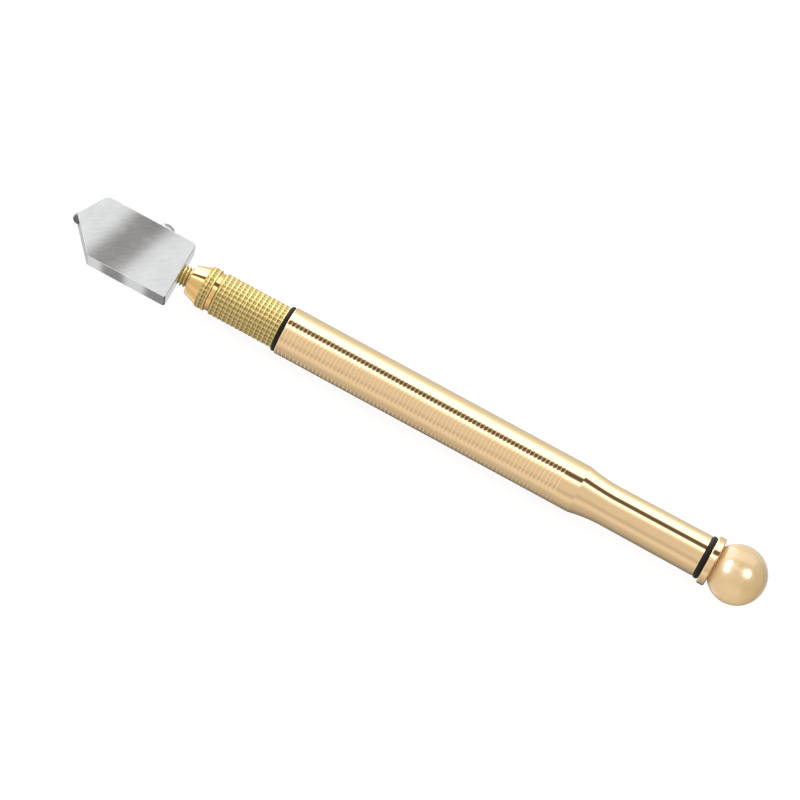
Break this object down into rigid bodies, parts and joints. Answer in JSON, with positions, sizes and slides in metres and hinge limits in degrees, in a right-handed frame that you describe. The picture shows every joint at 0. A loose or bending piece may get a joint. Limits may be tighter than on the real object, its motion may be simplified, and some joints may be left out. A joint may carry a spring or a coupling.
{
  "type": "glass cutter",
  "caption": "Oil-fed glass cutter: wide brushed-steel head with a wheel, swivelling sprung stem, knurled brass grip, gold reservoir barrel and a screw cap with a tapping ball.",
  "frame": {"origin": "the cutting wheel's contact point, on the handle's axis", "axes": "+X runs along the handle from the wheel to the ball, +Z is the normal of the head's wide front guide face, +Y points to the lock screw's narrow side"},
  "size_m": [0.1756, 0.0164, 0.0138],
  "materials": {
    "head_steel": "brushed, soft sheen",
    "wheel_carbide": "fine ground carbide",
    "pin_steel": "ground",
    "screw_steel": "turned and plated",
    "spring_steel": "drawn wire",
    "brass_plain": "turned",
    "brass_polished": "polished",
    "brass_knurled": "knurled, bright",
    "gold_polished": "polished and plated",
    "gold_ball": "satin plated",
    "seal_rubber": "satin black",
    "washer_nylon": "natural nylon",
    "wick_felt": "felt"
  },
  "bodies": {
    "handle": {"barrel": "gold_polished", "grip_sleeve": "brass_knurled", "front_o_ring": "seal_rubber", "spring_retainer": "brass_plain", "valve_spring": "spring_steel"},
    "valve": {"valve_poppet": "brass_plain", "valve_seal": "seal_rubber"},
    "nose_washer": {"thrust_washer": "washer_nylon"},
    "nose": {"nose_nut": "brass_polished"},
    "plunger": {"stem": "brass_plain", "oil_wick": "wick_felt", "valve_plunger": "brass_plain", "plunger_o_ring": "seal_rubber"},
    "head": {"head_block": "head_steel", "wheel_axle": "pin_steel"},
    "wheel": {"cutting_wheel": "wheel_carbide"},
    "lock_carrier": {"lock_pad": "brass_plain"},
    "lock": {"lock_screw": "screw_steel"},
    "cap_seal": {"rear_o_ring": "seal_rubber"},
    "cap": {"filler_plug": "gold_polished", "tapping_ball": "gold_ball"}
  },
  "joints": [
    {"name": "nose_travel", "type": "slide", "parent": "handle", "child": "nose_washer", "axis": [-1, 0, 0], "range_m": [0, 0.0048]},
    {"name": "nose_turn", "type": "hinge", "parent": "nose_washer", "child": "nose", "pos_m": [0.033, 0, 0], "axis": [-1, 0, 0], "range_deg": [0, 2304]},
    {"name": "head_press", "type": "slide", "parent": "nose_washer", "child": "plunger", "axis": [1, 0, 0], "range_m": [0, 0.0008], "stiffness_N_per_m": 1200, "springref_m": -0.0015, "deforming": ["valve_spring"]},
    {"name": "valve_lift", "type": "slide", "parent": "handle", "child": "valve", "axis": [1, 0, 0], "range_m": [0, 0.0008], "deforming": ["valve_spring"]},
    {"name": "head_swivel", "type": "hinge", "parent": "plunger", "child": "head", "pos_m": [0.022, 0, 0], "axis": [1, 0, 0], "continuous": true},
    {"name": "wheel_spin", "type": "hinge", "parent": "head", "child": "wheel", "pos_m": [0.0014, 0, 0], "axis": [0, 0, 1], "continuous": true},
    {"name": "lock_travel", "type": "slide", "parent": "head", "child": "lock_carrier", "axis": [0, 1, 0], "range_m": [0, 0.002]},
    {"name": "lock_turn", "type": "hinge", "parent": "lock_carrier", "child": "lock", "pos_m": [0.0198, 0, 0], "axis": [0, 1, 0], "range_deg": [0, 1440]},
    {"name": "cap_travel", "type": "slide", "parent": "handle", "child": "cap_seal", "axis": [1, 0, 0], "range_m": [0, 0.0055]},
    {"name": "cap_turn", "type": "hinge", "parent": "cap_seal", "child": "cap", "pos_m": [0.161, 0, 0], "axis": [1, 0, 0], "range_deg": [0, 2640]}
  ],
  "couplings": [
    {"joint": "nose_turn", "follows": "nose_travel", "rad_per_m": 8377.6},
    {"joint": "cap_turn", "follows": "cap_travel", "rad_per_m": 8377.6},
    {"joint": "lock_turn", "follows": "lock_travel", "rad_per_m": 12566},
    {"joint": "valve_lift", "follows": "head_press", "ratio": 1}
  ]
}
